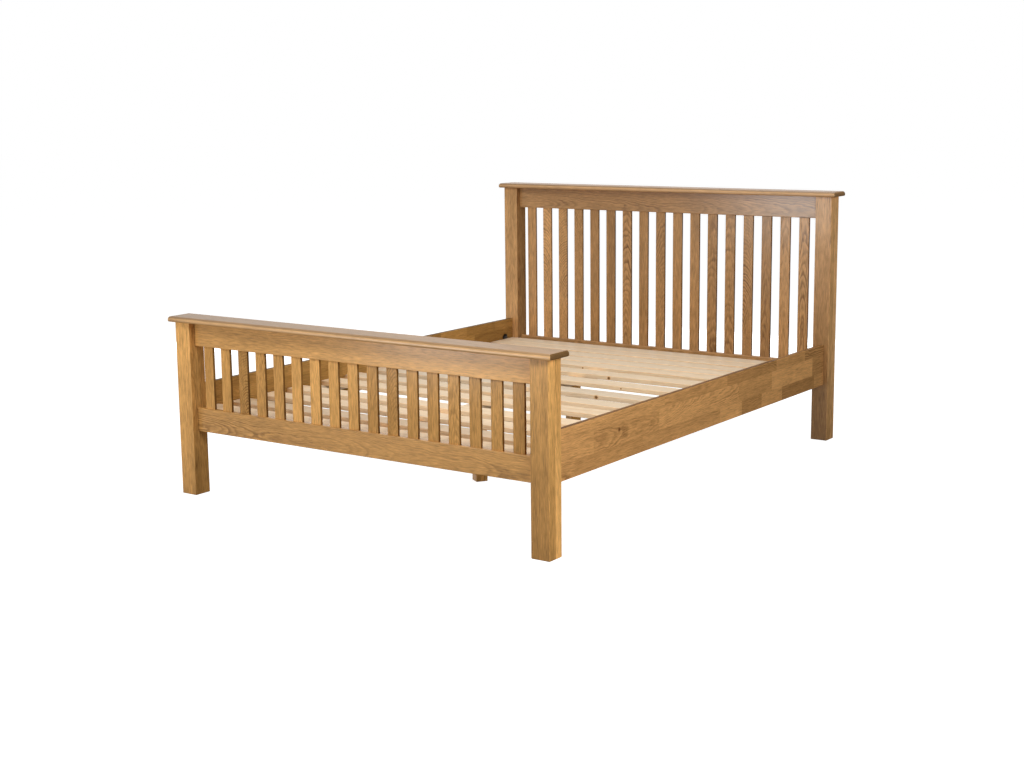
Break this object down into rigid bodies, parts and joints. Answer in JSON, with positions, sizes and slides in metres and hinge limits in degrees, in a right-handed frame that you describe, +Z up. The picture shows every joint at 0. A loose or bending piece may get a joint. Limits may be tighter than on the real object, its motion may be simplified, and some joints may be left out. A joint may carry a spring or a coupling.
{
  "type": "bed frame",
  "caption": "Oak bed frame with slatted head and foot ends, bull-nosed caps, bolted side rails, a pine slat base and screw-in centre legs.",
  "frame": {"origin": "on the floor under the middle of the bed", "axes": "+X to the right as seen from the foot, +Y from the foot to the head, +Z up"},
  "size_m": [1.656, 2.182, 1.026],
  "materials": {
    "oak": "satin lacquered oak",
    "oak_staves": "satin lacquered oak, glued up from staves",
    "pine": "bare planed pine",
    "beech": "bare turned beech",
    "zinc_steel": "zinc plated"
  },
  "bodies": {
    "bed_frame": {"base_slats": "pine", "bed_studs": "zinc_steel", "centre_rail": "pine", "centre_rail_cleats": "pine", "dowels": "beech", "foot_bottom_rail": "oak", "foot_cap": "oak", "foot_post_left": "oak", "foot_post_right": "oak", "foot_spindle_01": "oak", "foot_spindle_02": "oak", "foot_spindle_03": "oak", "foot_spindle_04": "oak", "foot_spindle_05": "oak", "foot_spindle_06": "oak", "foot_spindle_07": "oak", "foot_spindle_08": "oak", "foot_spindle_09": "oak", "foot_spindle_10": "oak", "foot_spindle_11": "oak", "foot_spindle_12": "oak", "foot_spindle_13": "oak", "foot_spindle_14": "oak", "foot_spindle_15": "oak", "foot_spindle_16": "oak", "foot_spindle_17": "oak", "foot_top_rail": "oak", "half_moon_washers": "zinc_steel", "head_bottom_rail": "oak", "head_cap": "oak", "head_post_left": "oak", "head_post_right": "oak", "head_spindle_01": "oak", "head_spindle_02": "oak", "head_spindle_03": "oak", "head_spindle_04": "oak", "head_spindle_05": "oak", "head_spindle_06": "oak", "head_spindle_07": "oak", "head_spindle_08": "oak", "head_spindle_09": "oak", "head_spindle_10": "oak", "head_spindle_11": "oak", "head_spindle_12": "oak", "head_spindle_13": "oak", "head_spindle_14": "oak", "head_spindle_15": "oak", "head_spindle_16": "oak", "head_spindle_17": "oak", "head_top_rail": "oak", "insert_nuts": "zinc_steel", "side_rail_left": "oak_staves", "side_rail_right": "oak_staves", "slat_ledger_left": "pine", "slat_ledger_right": "pine", "stud_nuts": "zinc_steel"},
    "centre_leg_front": {"centre_leg_front": "oak", "hanger_bolt_front": "zinc_steel"},
    "centre_leg_rear": {"centre_leg_rear": "oak", "hanger_bolt_rear": "zinc_steel"}
  },
  "joints": [
    {"name": "centre_leg_front_turn", "type": "hinge", "parent": "bed_frame", "child": "centre_leg_front", "pos_m": [0, -0.325, 0], "axis": [0, 0, 1], "range_deg": [-180, 180]},
    {"name": "centre_leg_rear_turn", "type": "hinge", "parent": "bed_frame", "child": "centre_leg_rear", "pos_m": [0, 0.325, 0], "axis": [0, 0, 1], "range_deg": [-180, 180]}
  ]
}
